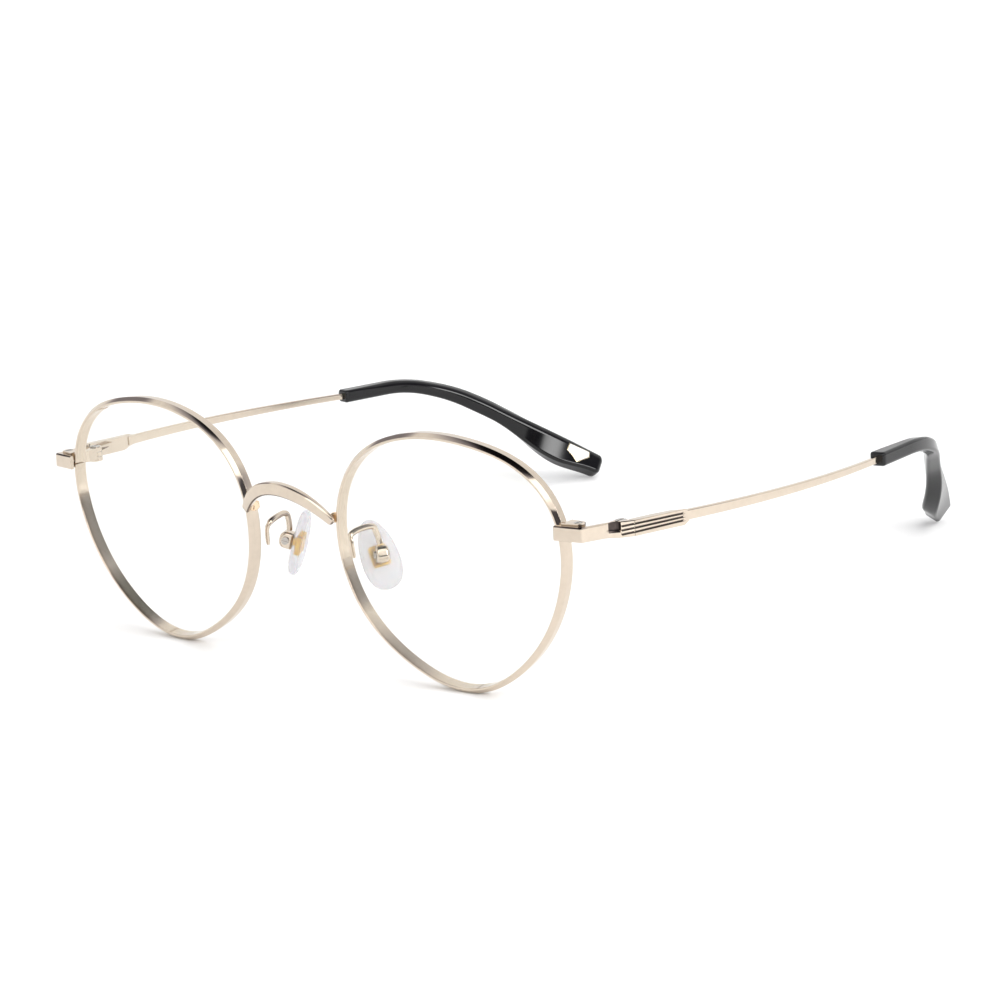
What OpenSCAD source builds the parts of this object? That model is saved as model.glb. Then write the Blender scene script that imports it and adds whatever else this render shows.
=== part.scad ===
// Full-rim metal eyeglasses frame with lenses, standing open on its rims and temple tips.
// Millimetres. +X is the wearer's left seen from in front, -Y is the front, +Z is up.
// The working plane y = 0 is the front of the lenses; every node is then moved back so that
// the origin sits under the middle of the whole frame.

/* [Rims] */
// Mean outer radius of a rim
rim_radius = 24.5; // [20:0.1:28]
// How much wider than tall a rim is, as a radius
rim_wide = 1.5; // [0:0.05:2.5]
// Slant of the oval towards the temple
rim_skew = 0.28; // [-1:0.02:1]
// Panto lobe: full upper corners and a narrower bottom
rim_panto = 0.97; // [0:0.01:2]
// Lift of the upper outer corner
rim_brow = 0.21; // [0:0.01:0.6]
// Softening of the panto corners
rim_soften = -0.13; // [-0.3:0.01:0.3]
// Radial thickness of the rim wire
rim_thick = 1.05; // [0.9:0.05:1.6]
// Front-to-back depth of the rim wire
rim_depth = 2.3; // [1.8:0.05:3]
// Bevel across the rim's outer front edge
rim_bevel = 0.65; // [0.2:0.05:0.8]
// Depth of the lens groove
groove_depth = 0.45; // [0.2:0.05:0.6]
// Distance of each lens centre from the middle plane
lens_centre_x = 36.7; // [30:0.1:40]
// Height of the lens centres above the table
lens_centre_z = 23.9; // [20:0.05:30]
// Radius of the rims' base curve
base_radius = 156; // [90:1:250]
// Thickness of a lens
lens_thick = 1.3; // [1:0.1:1.5]
// Face-form wrap of each rim
wrap_angle = 3.4; // [0:0.1:8]
// Tilt of the front
tilt_angle = 1.5; // [0:0.1:10]

/* [Bridge] */
// Half of the bridge's span
bridge_half = 11.3; // [9:0.1:14]
// Height of the middle of the bridge's face
bridge_z = 33.7; // [28:0.1:40]
// Drop of the bridge's ends
bridge_drop = 5.8; // [3:0.1:8]
// Front-to-back bow of the bridge
bridge_bow = 2.9; // [0:0.1:5]
// Height of the bridge's broad front face
bridge_face = 1.9; // [1.2:0.1:3]
// Depth of the bridge at its middle
bridge_depth = 1.9; // [1:0.1:2.4]

/* [End pieces and hinges] */
// Height of an end piece at its front
end_height = 2.55; // [2:0.05:3]
// Top of the end piece's front face
end_top_z = 32.35; // [30:0.05:34]
// Downward slope of end piece and temple
temple_slope = 4.4; // [0:0.1:6]
// Hinge axis, distance from the middle plane
hinge_x = 67.0; // [62:0.1:70]
// Hinge axis, distance behind the lens plane
hinge_y = 13.2; // [11:0.1:16]
// Radius of the hinge knuckles
knuckle_r = 1.25; // [1:0.05:1.4]
// Top of the hinge barrel
barrel_top = 31.25; // [30:0.05:32]
// Height of each of the three knuckles
knuckle_h = 0.8; // [0.7:0.02:0.9]
// Thickness of a hinge washer
washer_h = 0.1; // [0.05:0.01:0.15]
// Radius of the hinge screw's shank
hinge_screw_r = 0.6; // [0.5:0.05:0.7]
// Radial running clearance of the hinge screw
hinge_play = 0.03; // [0.01:0.01:0.06]

/* [Temples] */
// End of the grooved temple block, behind the lens plane
block_end_y = 24.8; // [20:0.1:30]
// Depth of the milled grooves
groove_cut = 0.22; // [0.1:0.02:0.4]
// Thickness of the temple bar
bar_thick = 1.0; // [0.8:0.05:1.4]
// Height of the temple bar next to the block
bar_height = 1.75; // [1.4:0.05:2.2]
// Start of the acetate tip, behind the lens plane
tip_start_y = 80; // [70:0.2:90]
// Outward splay of the temple at the block, millimetres per millimetre
splay = 0.155; // [0:0.005:0.3]
// Inward curvature of the bar
bar_curve = 0.0034; // [0:0.0001:0.006]

/* [Tips] */
// Distance along the tip from its start to the ear bend
bend_run = 20.6; // [16:0.2:26]
// Length that the ear bend is rounded over, each way
bend_round = 10.2; // [6:0.2:14]
// Thickness of an acetate tip at its end
tip_thick = 3.4; // [2.8:0.1:3.8]
// Twist of the tip's broad end about its length
tip_twist = 38; // [0:1:50]

/* [Nose pads] */
// Length of a nose pad
pad_length = 12.9; // [11:0.1:15]
// Width of a nose pad
pad_width = 6.9; // [6:0.1:9]
// Thickness of a nose pad
pad_thick = 1.9; // [1.8:0.1:3]
// Frontal lean of a pad
pad_lean = 19.5; // [10:0.5:30]
// Splay of a pad
pad_splay = 31; // [10:0.2:40]
// Turn of a pad in its own plane, top forwards
pad_roll = 10; // [0:0.5:20]
// Diameter of the pad arm wire
arm_wire = 1.1; // [0.8:0.05:1.3]

/* [Hidden] */
$fn = 32;
stations = 84;            // rings round a rim
gap = 0.04;               // clearance between pieces that stay together
split_angle = 15;         // where each rim is cut for its lock
split_gap = 0.35;         // half width of that cut, degrees
origin_y = 63.25;         // middle of the whole frame, front to back
edge = 0.12;              // small edge bevel
bar_start_z = 29.6;       // middle of the bar's height at the block's end
bar_start_x = 70.3;       // middle of the bar's thickness there
hinge_split = 13.3;       // plane where the temple meets the end piece

// ---------- helpers ----------

// Places a right-hand piece, or its mirror image on the left.
module placed(side) {
    translate([0, -origin_y, 0])
        mirror([side < 0 ? 1 : 0, 0, 0])
            children();
}

// Joins rings of points, all with the same count, into one closed solid.
module skin(rings, closed = false) {
    n = len(rings[0]);
    m = len(rings);
    spans = closed ? m : m - 1;
    walls = [for (i = [0:spans - 1], j = [0:n - 1])
        let (a = i * n + j, b = i * n + (j + 1) % n, k = ((i + 1) % m) * n)
        each [[a, b, k + (j + 1) % n], [a, k + (j + 1) % n, k + j]]];
    caps = closed ? [] : [[for (j = [n - 1:-1:0]) j], [for (j = [0:n - 1]) (m - 1) * n + j]];
    polyhedron([for (r = rings) each r], concat(walls, caps));
}

// Rounded rectangle of half sizes a and b with corner radius r, q points a corner.
function soft_box(a, b, r, q = 3) = [for (c = [0:3], i = [0:q - 1])
    let (t = 90 * (c + i / (q - 1)), sx = (c == 0 || c == 3) ? 1 : -1, sy = c < 2 ? 1 : -1)
    [sx * (a - r) + r * cos(t), sy * (b - r) + r * sin(t)]];

function unit(v) = v / norm(v);

// Section points carried to a point p, along a lateral and an upward direction.
function ring_at(p, lateral, upward, section) = [for (s = section) p + s[0] * lateral + s[1] * upward];

// Direction of travel at index i of a list of points.
function heading(path, i) = unit(path[min(i + 1, len(path) - 1)] - path[max(i - 1, 0)]);

// Horizontal direction square to the direction of travel.
function sideways(d) = unit(cross(d, [0, 0, 1]));

// ---------- rims and lenses ----------

// Outline radius and its slope at angle a, measured from the temple side.
function rim_r(a) = rim_radius + rim_wide * cos(2 * a) + rim_skew * sin(2 * a)
    + rim_panto * sin(3 * a) + rim_brow * sin(4 * a) + rim_soften * cos(6 * a);
function rim_dr(a) = -2 * rim_wide * sin(2 * a) + 2 * rim_skew * cos(2 * a)
    + 3 * rim_panto * cos(3 * a) + 4 * rim_brow * cos(4 * a) - 6 * rim_soften * sin(6 * a);

// A point of the rim section: inset from the outer wall, depth from the front.
function rim_point(a, inset, depth) =
    let (r = rim_r(a), facing = a - atan2(rim_dr(a), r), lean = asin(r / base_radius / 2),
        inward = inset * cos(lean) + depth * sin(lean))
    [r * cos(a) - inward * cos(facing),
     r * r / (2 * base_radius) - inset * sin(lean) + depth * cos(lean),
     r * sin(a) - inward * sin(facing)];

// The rim wire's section, as inset and depth.
function rim_section() = concat(
    [[0, rim_bevel], [rim_bevel, 0]],
    [[rim_thick - edge, 0], [rim_thick, edge],
     [rim_thick, rim_depth / 2 - groove_depth],
     [rim_thick - groove_depth, rim_depth / 2],
     [rim_thick, rim_depth / 2 + groove_depth],
     [rim_thick, rim_depth - edge], [rim_thick - edge, rim_depth],
     [2 * edge, rim_depth], [0, rim_depth - 2 * edge]]);

module in_rim() {
    translate([lens_centre_x, 0, lens_centre_z])
        rotate([tilt_angle, 0, 0])
            rotate([0, 0, wrap_angle])
                children();
}

module rim(side) {
    turn = 360 - 2 * split_gap;
    color("#dcc9b4")
        placed(side)
            in_rim()
                skin([for (i = [0:stations])
                    let (a = split_angle + split_gap + turn * i / stations)
                    [for (p = rim_section()) rim_point(a, p[0], p[1])]]);
}

// A point inside the lens outline: fraction f of the way out, on a face at a depth.
function lens_point(a, f, depth) =
    let (e = rim_point(a, rim_thick + gap, depth), r = norm([e[0], e[2]]))
    [f * e[0], e[1] - (1 - f * f) * r * r / (2 * base_radius), f * e[2]];

// A point of the lens's edge bevel: e is how far into the groove and how far behind its middle.
function bevel_point(a, e) = rim_point(a, rim_thick + gap - e[0] * (groove_depth - gap),
    rim_depth / 2 + e[1] * (groove_depth - gap));

module lens(side) {
    front = (rim_depth - lens_thick) / 2;
    back = (rim_depth + lens_thick) / 2;
    angles = [for (i = [0:stations - 1]) 360 * i / stations];
    color("#f4f6f2", 0.35)
        placed(side)
            in_rim()
                skin(concat(
                    [for (f = [0.02, 0.35, 0.7, 1]) [for (a = angles) lens_point(a, f, front)]],
                    [for (e = [[0, -1], [1, 0], [0, 1]]) [for (a = angles) bevel_point(a, e)]],
                    [for (f = [1, 0.7, 0.35, 0.02]) [for (a = angles) lens_point(a, f, back)]]));
}

// ---------- bridge ----------

// Middle of the bridge's face at t, from -1 at one end to 1 at the other.
function bridge_mid(t) = [bridge_half * t,
    bridge_bow * (t * t - 1) - 0.25,
    bridge_z - bridge_drop * (0.87 * t * t + 0.13 * pow(t, 4))];

// Bridge section at t: a broad bevelled face in front, rounded behind.
function bridge_section(t) =
    let (h = bridge_face / 2 * (1 - 0.36 * pow(t, 4)), d = bridge_depth * (1 - 0.45 * t * t),
        bevel = 0.22, high = h + bevel)
    [[0, -h], [0, h], [bevel, high], [d - 0.5, high], [d, h * 0.6], [d, -h * 0.6], [d - 0.5, -high],
     [bevel, -high]];

module bridge() {
    steps = 28;
    path = [for (i = [0:steps]) bridge_mid(2 * i / steps - 1)];
    color("#d8c6b2")
        placed(1)
            union() {
                skin([for (i = [0:steps])
                    let (d = heading(path, i), up = unit([-d[2], 0, d[0]]), back = unit(cross(up, d)))
                    [for (s = bridge_section(2 * i / steps - 1)) path[i] + s[0] * back + s[1] * up]]);
                for (side = [-1, 1])
                    bridge_foot(side);
            }
}

// Brazed foot that carries a bridge end back beside the rim.
module bridge_foot(side) {
    mirror([side < 0 ? 1 : 0, 0, 0])
        translate([9.84, 0.35, 27.6])
            rotate([0, 0, -4])
                cube([0.75, 2.2, 2.1]);
}

// ---------- end pieces, locks and hinges ----------

// Turns the working plane down the temple's slope, about the end piece's front.
module sloped() {
    translate([0, 3.5, end_top_z])
        rotate([-temple_slope, 0, 0])
            translate([0, -3.5, -end_top_z])
                children();
}

// Plan outlines seen from above: the front plate with its arm, and the grooved tail.
end_plan = [[61.5, 2.5], [66.75, 3.4], [67.05, 3.75], [68.0, 9.2], [68.9, 10.7], [68.3, 11.2], [67.2, 9.4],
    [66.3, 5.2], [66.0, 4.25], [61.5, 3.3]];
tail_plan = [[68.75, 10.55], [70.15, hinge_split - 0.06], [68.58, hinge_split - 0.06], [68.2, 11.0]];

module end_piece(side) {
    color("#dac7b1")
        placed(side)
            sloped()
                difference() {
                    union() {
                        translate([0, 0, end_top_z - end_height])
                            linear_extrude(end_height)
                                polygon(end_plan);
                        translate([0, 0, end_top_z - 2.7])
                            linear_extrude(2.75)
                                polygon(tail_plan);
                    }
                    end_bevel();
                    end_scoop();
                    end_grooves();
                }
}

// Bevels along the upper edges of the front plate and of the arm.
module end_bevel() {
    translate([61, 2.33, end_top_z])
        rotate([0, 0, 9.7])
            rotate([45, 0, 0])
                translate([-1, -0.3, -0.3])
                    cube([7, 0.6, 0.6]);
    translate([67.0, 3.2, end_top_z])
        rotate([0, 0, -9.9])
            rotate([0, 45, 0])
                translate([-0.22, 0, -0.22])
                    cube([0.44, 6.2, 0.44]);
}

// Scoop that steps the arm out to the grooved tail.
module end_scoop() {
    translate([68.95, 9.45, end_top_z])
        rotate([0, 0, -29])
            rotate([0, 45, 0])
                translate([-0.75, -0.9, -0.75])
                    cube([1.5, 2.1, 1.5]);
}

// The three milled grooves, cut from the outer face.
module end_grooves() {
    for (i = [-1:1])
        translate([68.88, 10.75, end_top_z - 1.28 + 0.78 * i])
            rotate([0, 0, -26.5])
                translate([-groove_cut * 0.6, 0.1, -0.14])
                    cube([2, 4, 0.28]);
}

module closing_block(side, half) {
    z0 = half > 0 ? 31.05 : 29.9;
    z1 = half > 0 ? 32.7 : 30.9;
    color("#cdbba6")
        placed(side)
            difference() {
                translate([0, 0, z0])
                    linear_extrude(z1 - z0)
                        closing_plan();
                translate([64.9, 5.15, z0 - 1])
                    cylinder(r = 0.5 + gap / 2, h = z1 - z0 + 2);
                if (half > 0)
                    translate([64.9, 5.15, z1 - 0.42])
                        cylinder(r = 0.7 + gap, h = 1);
            }
}

module closing_plan() {
    polygon([[62.5, 3.56], [65.6, 4.28], [66.0, 4.75], [66.1, 5.4], [65.8, 6.0], [65.1, 6.2], [62.6, 6.2]]);
}

module closing_screw(side) {
    color("#c9c4bd")
        placed(side)
            translate([64.9, 5.15, 0])
                difference() {
                    union() {
                        translate([0, 0, 30.0])
                            cylinder(r = 0.5, h = 2.4);
                        translate([0, 0, 32.3])
                            cylinder(r = 0.7, h = 0.42);
                    }
                    translate([-0.1, -1, 32.55])
                        cube([0.2, 2, 1]);
                }
}

// Heights of the knuckles, from the bottom of the barrel.
barrel_bottom = barrel_top - 3 * knuckle_h - 2 * washer_h - 4 * 0.01;
temple_knuckle_z = barrel_bottom + knuckle_h + washer_h + 0.02;
upper_knuckle_z = temple_knuckle_z + knuckle_h + washer_h + 0.02;

module knuckle(z, h) {
    translate([hinge_x, hinge_y, z])
        cylinder(r = knuckle_r, h = h);
}

module pin_hole(extra) {
    translate([hinge_x, hinge_y, barrel_bottom - 1])
        cylinder(r = hinge_screw_r + extra, h = 8);
}

module hinge_front_leaf(side) {
    color("#d2bfa9")
        placed(side)
            difference() {
                union() {
                    knuckle(barrel_bottom, knuckle_h);
                    knuckle(upper_knuckle_z, knuckle_h);
                    translate([0, 0, barrel_bottom + 0.45])
                        linear_extrude(barrel_top - barrel_bottom - 0.45)
                            polygon([[66.9, 9.5], [68.1, 11.25], [68.4, 12.6], [67.2, 12.9], [65.8, 12.9],
                                [65.8, 10.6], [66.3, 9.6]]);
                }
                translate([hinge_x, hinge_y, temple_knuckle_z - washer_h - 0.02])
                    cylinder(r = knuckle_r + 0.15, h = knuckle_h + 2 * washer_h + 0.04);
                pin_hole(gap / 2);
            }
}

module hinge_temple_leaf(side) {
    color("#d2bfa9")
        placed(side)
            difference() {
                union() {
                    knuckle(temple_knuckle_z, knuckle_h);
                    translate([0, 0, temple_knuckle_z])
                        linear_extrude(knuckle_h)
                            polygon([[66.6, 13.5], [68.54, 13.5], [68.75, 17.4], [67.7, 17.4], [66.8, 15.2]]);
                    translate([67.75, 14.9, barrel_bottom + 0.35])
                        cube([1.0, 3.6, 1.9]);
                }
                pin_hole(hinge_play);
            }
}

module hinge_screw(side) {
    color("#c9c4bd")
        placed(side)
            translate([hinge_x, hinge_y, 0])
                difference() {
                    union() {
                        translate([0, 0, barrel_bottom + 0.05])
                            cylinder(r = hinge_screw_r, h = barrel_top - barrel_bottom);
                        translate([0, 0, barrel_top + 0.01])
                            cylinder(r = 0.95, h = 0.15);
                    }
                    translate([-0.12, -2, barrel_top - 0.05])
                        cube([0.24, 4, 1]);
                }
}

module hinge_washers(side) {
    color("#b9b4ac")
        placed(side)
            for (z = [temple_knuckle_z - washer_h - 0.01, temple_knuckle_z + knuckle_h + 0.01])
                translate([hinge_x, hinge_y, z])
                    difference() {
                        cylinder(r = knuckle_r - 0.05, h = washer_h);
                        translate([0, 0, -1])
                            cylinder(r = hinge_screw_r + hinge_play, h = 3);
                    }
}

// ---------- temples ----------

// Middle of the bar's section at distance y behind the lens plane.
function bar_mid(y) = let (s = y - block_end_y)
    [bar_start_x + splay * s - bar_curve * s * s, y, bar_start_z - tan(temple_slope - 0.6) * s];

// Half height of the bar, which slims towards the tip.
function bar_half(y) = bar_height / 2 - 0.0055 * (y - block_end_y);

tip_start = bar_mid(tip_start_y);
tip_heading = unit([-0.165, 1, -0.044]);
tip_corner = tip_start + bend_run * tip_heading;
tip_end = [44.2, 127.4, 1.9];
drop_heading = unit(tip_end - tip_corner);
core_end = 0.62;          // the core wire's share of the drop

// A point s along the tip's middle line: straight, round the ear, straight.
drop_length = norm(tip_end - tip_corner);
tip_length = bend_run + drop_length;
function tip_mid(s) =
    s < bend_run - bend_round ? tip_start + s * tip_heading
    : s > bend_run + bend_round ? tip_corner + (s - bend_run) * drop_heading
    : let (u = (s - bend_run + bend_round) / (2 * bend_round))
        tip_corner - bend_round * (1 - u) * (1 - u) * tip_heading
        + bend_round * u * u * drop_heading;

module temple(side) {
    steps = 18;
    span = tip_start_y + 0.9 - block_end_y;
    bar = [for (i = [0:steps]) bar_mid(block_end_y - 1 + span * i / steps)];
    color("#dccab5")
        placed(side)
            union() {
                temple_block();
                skin([for (i = [0:steps])
                    let (h = bar_half(bar[i][1]))
                    ring_at(bar[i], sideways(heading(bar, i)), [0, 0, 1], soft_box(bar_thick / 2, h, 0.2))]);
                core_wire(0.48, 0.6, 0);
            }
}

// Grooved block between the hinge and the bar.
block_plan = [[68.58, hinge_split], [70.15, hinge_split], [70.95, block_end_y - 0.6], [70.8, block_end_y],
    [70.5, block_end_y + 1.2], [69.9, block_end_y + 1.2], [69.5, block_end_y - 2], [68.85, 18.7],
    [68.78, 15]];

module temple_block() {
    height = 2.75;
    difference() {
        sloped()
            difference() {
                translate([0, 0, end_top_z + 0.05 - height])
                    linear_extrude(height)
                        polygon(block_plan);
                for (i = [-1:1])
                    translate([70.15, hinge_split, end_top_z - 1.28 + 0.78 * i - 0.14])
                        rotate([0, 0, -4])
                            translate([-groove_cut, -1, 0])
                                cube([2, block_end_y - hinge_split + 0.15, 0.28]);
                for (top = [0, 1])
                    translate([60, block_end_y + 0.2, end_top_z - height * (1 - top)])
                        rotate([top ? -24 : 24, 0, 0])
                            translate([0, 0, top ? 0 : -2])
                                cube([15, 4, 2]);
            }
    }
}

// ---------- tips ----------

// Distances from the tip's middle line to its lower edge, upper edge and sides, s along it.
function tip_low(s) = lookup(s, [[0, 1.28], [bend_run, 1.3], [bend_run + 16, 0.7], [tip_length - 9, 3.1],
    [tip_length, 1.85]]);
function tip_high(s) = lookup(s, [[0, 1.28], [bend_run, 1.3], [bend_run + 16, 2.3], [tip_length - 5, 2.7],
    [tip_length, 2.75]]);
function tip_half(s) = lookup(s, [[0, 1.5], [bend_run, 1.3], [tip_length, tip_thick / 2]]);
function tip_turn(s) = lookup(s, [[bend_run - bend_round, 0], [bend_run + bend_round, -tip_twist / 2.4],
    [tip_length, tip_twist]]);

// Lateral and upward directions of the tip at s, turned with its twist.
function tip_frame(s) =
    let (d = unit(tip_mid(min(s + 0.2, tip_length)) - tip_mid(max(s - 0.2, 0))), lat = sideways(d),
        up = cross(lat, d), t = tip_turn(s))
    [cos(t) * lat - sin(t) * up, sin(t) * lat + cos(t) * up];

function tip_ring(s, shrink) =
    let (f = tip_frame(s), low = tip_low(s) - shrink, high = tip_high(s) - shrink, half = tip_half(s) - shrink)
    ring_at(tip_mid(s) + (high - low) / 2 * f[1], f[0], f[1], soft_box(half, (low + high) / 2, 0.5, 4));

module tip_body() {
    steps = 36;
    body = [for (i = [0:steps]) tip_ring(0.5 + (tip_length - 0.5) * i / steps, 0)];
    last = [for (p = tip_ring(tip_length, 0.45)) p + 0.6 * drop_heading];
    skin(concat([tip_ring(0, 0.35)], body, [last]));
}

// Round core wire, from a distance before the tip's start to part way down the drop.
module core_wire(radius, before, over) {
    steps = 18;
    length = bend_run + drop_length * core_end + over;
    path = [for (i = [0:steps]) tip_mid((length + before) * i / steps - before)];
    skin([for (i = [0:steps])
        let (d = heading(path, i), lat = sideways(d))
        ring_at(path[i], lat, cross(lat, d), [for (t = [0:45:359]) radius * [cos(t), sin(t)]])]);
}

module temple_tip(side) {
    color("#0d0d0e")
        placed(side)
            difference() {
                tip_body();
                core_wire(0.48 + gap, 0.8, 0.5);
                tip_inlay_blank(0.5, gap, 1);
            }
}

// Six-sided plate let into the inner face of a tip.
module tip_inlay_blank(deep, grow, out) {
    s = tip_length - 5.4;
    f = tip_frame(s);
    base = tip_mid(s) - f[0] * (tip_half(s) - deep);
    outline = [[0.4, -1.8], [2.7, 0.5], [2.4, 1.65], [-2.5, 1.6], [-2.5, 0], [-1.2, -0.6]];
    centre = [0, 0.3];
    ring = [for (p = outline)
        let (q = p + grow * unit(p - centre)) base + q[0] * drop_heading + q[1] * f[1]];
    skin([ring, [for (p = ring) p - f[0] * (deep + out)]]);
}

module tip_inlay(side) {
    color("#e6c77e")
        placed(side)
            tip_inlay_blank(0.45, 0, 0.1);
}

// ---------- nose pads ----------

pad_centre = [10.1, 11.25, 19.35];
box_at = [2.5, 0.05, -0.2];       // middle of the box in the pad's own frame
box_size = [2.5, 2.3, 3.1];

// The pad's own frame: x out of its face, y across it, z along it.
module at_pad() {
    translate(pad_centre)
        rotate([0, 0, -pad_splay])
            rotate([0, -pad_lean, 0])
                children();
}

// Route of the pad arm, from its foot on the rim to the top of the box.
arm_route = [[10.95, 4.3, 20.6], [10.8, 4.25, 23.3], [10.45, 4.5, 24.35], [10.4, 5.3, 24.9], [10.6, 6.9, 25.2],
    [11.0, 8.6, 25.25], [11.15, 9.6, 24.95], [11.2, 10.0, 24.2], [11.4, 10.3, 22.8], [11.62, 10.4, 21.72]];

// Catmull-Rom point on a route.
function route_point(route, t) =
    let (n = len(route) - 1, i = min(floor(t * n), n - 1), u = t * n - i,
        p0 = route[max(i - 1, 0)], p1 = route[i], p2 = route[i + 1], p3 = route[min(i + 2, n)])
    0.5 * (2 * p1 + (p2 - p0) * u + (2 * p0 - 5 * p1 + 4 * p2 - p3) * u * u
        + (3 * p1 - p0 - 3 * p2 + p3) * u * u * u);

module pad_arm(side) {
    steps = 40;
    path = [for (i = [0:steps]) route_point(arm_route, i / steps)];
    color("#d9c5ae")
        placed(side)
            skin([for (i = [0:steps])
                let (d = heading(path, i), lat = unit(cross(d, [1, 0.2, 0.1])), up = cross(lat, d),
                    flat = lookup(i, [[0, 0.6], [8, 0.6], [12, 1], [40, 1]]))
                ring_at(path[i], lat, up, [for (t = [0:36:359])
                    [arm_wire / 2 * flat * cos(t), arm_wire / 2 * cos(t - 90)]])]);
}

// Side outline of the box, in its x and z.
module box_outline() {
    round = 0.9;
    hull_x = box_size[0] / 2;
    hull_z = box_size[2] / 2;
    union() {
        translate([-hull_x, -hull_z])
            square([box_size[0] - round, box_size[2]]);
        translate([0, round - hull_z])
            square([hull_x, box_size[2] - 2 * round]);
        for (end = [-1, 1])
            translate([hull_x - round, end * (hull_z - round)])
                circle(r = round);
    }
}

module pad_box(side) {
    color("#d5c2ab")
        placed(side)
            at_pad()
                translate(box_at)
                    difference() {
                        translate([0, box_size[1] / 2, 0])
                            rotate([90, 0, 0])
                                linear_extrude(box_size[1])
                                    box_outline();
                        translate([-box_size[0] / 2 - 1, -0.65, -1.1])
                            cube([3.0, 1.3, 2.2]);
                        translate([0, -3, 0])
                            rotate([-90, 0, 0])
                                cylinder(r = 0.5 + gap / 2, h = 6);
                    }
}

module pad_screw(side) {
    color("#bdbcb8")
        placed(side)
            at_pad()
                translate(box_at + [0, -box_size[1] / 2, 0])
                    rotate([-90, 0, 0])
                        difference() {
                            union() {
                                translate([0, 0, -0.02])
                                    cylinder(r = 0.5, h = box_size[1] + 0.2);
                                translate([0, 0, -0.3])
                                    cylinder(r = 0.7, h = 0.28);
                            }
                            translate([-1, -0.1, -0.5])
                                cube([2, 0.2, 0.4]);
                        }
}

// The insert, drawn in the pad's frame: a tongue held by the screw and a plate inside the pad.
module insert_blank(grow) {
    translate([-0.4, box_at[1] - 0.5 - grow, box_at[2] - 0.7 - grow])
        cube([3.45, 1 + 2 * grow, 1.4 + 2 * grow]);
    rotate([pad_roll, 0, 0])
        translate([-0.6 - grow, -1.6 - grow, -2.2 - grow])
            cube([1.1 + 2 * grow, 3.2 + 2 * grow, 3.9 + 2 * grow]);
}

module pad_insert(side) {
    color("#e2b95f")
        placed(side)
            at_pad()
                difference() {
                    insert_blank(0);
                    translate(box_at + [0, -3, 0])
                        rotate([-90, 0, 0])
                            cylinder(r = 0.53, h = 6);
                }
}

// Teardrop outline: wide below, narrow above.
function pad_outline() = [for (a = [0:10:350])
    let (c = cos(a), s = sin(a), w = pad_width / 2 * (1 - 0.2 * s))
    [w * sign(c) * pow(abs(c), 0.9), pad_length / 2 * sign(s) * pow(abs(s), 0.9)]];

module nose_pad(side) {
    color("#eef0ef", 0.6)
        placed(side)
            at_pad()
                difference() {
                    rotate([pad_roll, 0, 0])
                        rotate([90, 0, 90])
                            translate([0, 0, -pad_thick / 2])
                                linear_extrude(pad_thick)
                                    polygon(pad_outline());
                    insert_blank(gap);
                }
}

// ---------- nodes ----------

rim(1);  // rim_right
rim(-1);  // rim_left
lens(1);  // lens_right
lens(-1);  // lens_left
bridge();
end_piece(1);  // end_piece_right
end_piece(-1);  // end_piece_left
closing_block(1, 1);  // closing_block_upper_right
closing_block(-1, 1);  // closing_block_upper_left
closing_block(1, -1);  // closing_block_lower_right
closing_block(-1, -1);  // closing_block_lower_left
closing_screw(1);  // closing_screw_right
closing_screw(-1);  // closing_screw_left
hinge_front_leaf(1);  // hinge_front_leaf_right
hinge_front_leaf(-1);  // hinge_front_leaf_left
hinge_temple_leaf(1);  // hinge_temple_leaf_right
hinge_temple_leaf(-1);  // hinge_temple_leaf_left
hinge_screw(1);  // hinge_screw_right
hinge_screw(-1);  // hinge_screw_left
hinge_washers(1);  // hinge_washers_right
hinge_washers(-1);  // hinge_washers_left
temple(1);  // temple_right
temple(-1);  // temple_left
temple_tip(1);  // temple_tip_right
temple_tip(-1);  // temple_tip_left
tip_inlay(1);  // tip_inlay_right
tip_inlay(-1);  // tip_inlay_left
pad_arm(1);  // pad_arm_right
pad_arm(-1);  // pad_arm_left
pad_box(1);  // pad_box_right
pad_box(-1);  // pad_box_left
pad_screw(1);  // pad_screw_right
pad_screw(-1);  // pad_screw_left
pad_insert(1);  // pad_insert_right
pad_insert(-1);  // pad_insert_left
nose_pad(1);  // nose_pad_right
nose_pad(-1);  // nose_pad_left
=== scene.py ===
import math

import bmesh
import bpy
from mathutils import Matrix, Vector


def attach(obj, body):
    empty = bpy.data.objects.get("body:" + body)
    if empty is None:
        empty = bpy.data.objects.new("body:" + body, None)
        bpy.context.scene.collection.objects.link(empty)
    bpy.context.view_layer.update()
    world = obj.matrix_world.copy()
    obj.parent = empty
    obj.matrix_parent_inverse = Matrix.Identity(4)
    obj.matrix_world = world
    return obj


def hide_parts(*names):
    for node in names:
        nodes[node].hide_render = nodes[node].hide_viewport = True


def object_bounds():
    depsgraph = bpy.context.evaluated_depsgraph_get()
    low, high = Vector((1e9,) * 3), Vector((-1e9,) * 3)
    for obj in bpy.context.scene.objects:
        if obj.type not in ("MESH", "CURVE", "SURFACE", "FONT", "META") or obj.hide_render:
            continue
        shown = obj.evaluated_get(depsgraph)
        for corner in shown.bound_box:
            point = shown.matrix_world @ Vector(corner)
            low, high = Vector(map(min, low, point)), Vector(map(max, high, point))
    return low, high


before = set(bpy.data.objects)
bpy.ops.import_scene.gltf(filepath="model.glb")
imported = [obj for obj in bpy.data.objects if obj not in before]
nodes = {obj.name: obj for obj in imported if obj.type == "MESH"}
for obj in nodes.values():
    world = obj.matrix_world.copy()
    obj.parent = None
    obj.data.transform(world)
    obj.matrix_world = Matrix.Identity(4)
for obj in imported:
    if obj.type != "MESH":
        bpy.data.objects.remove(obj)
cad_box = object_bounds()
scene = bpy.context.scene
MM = 0.001
SIDES = ((1, "right"), (-1, "left"))

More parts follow.
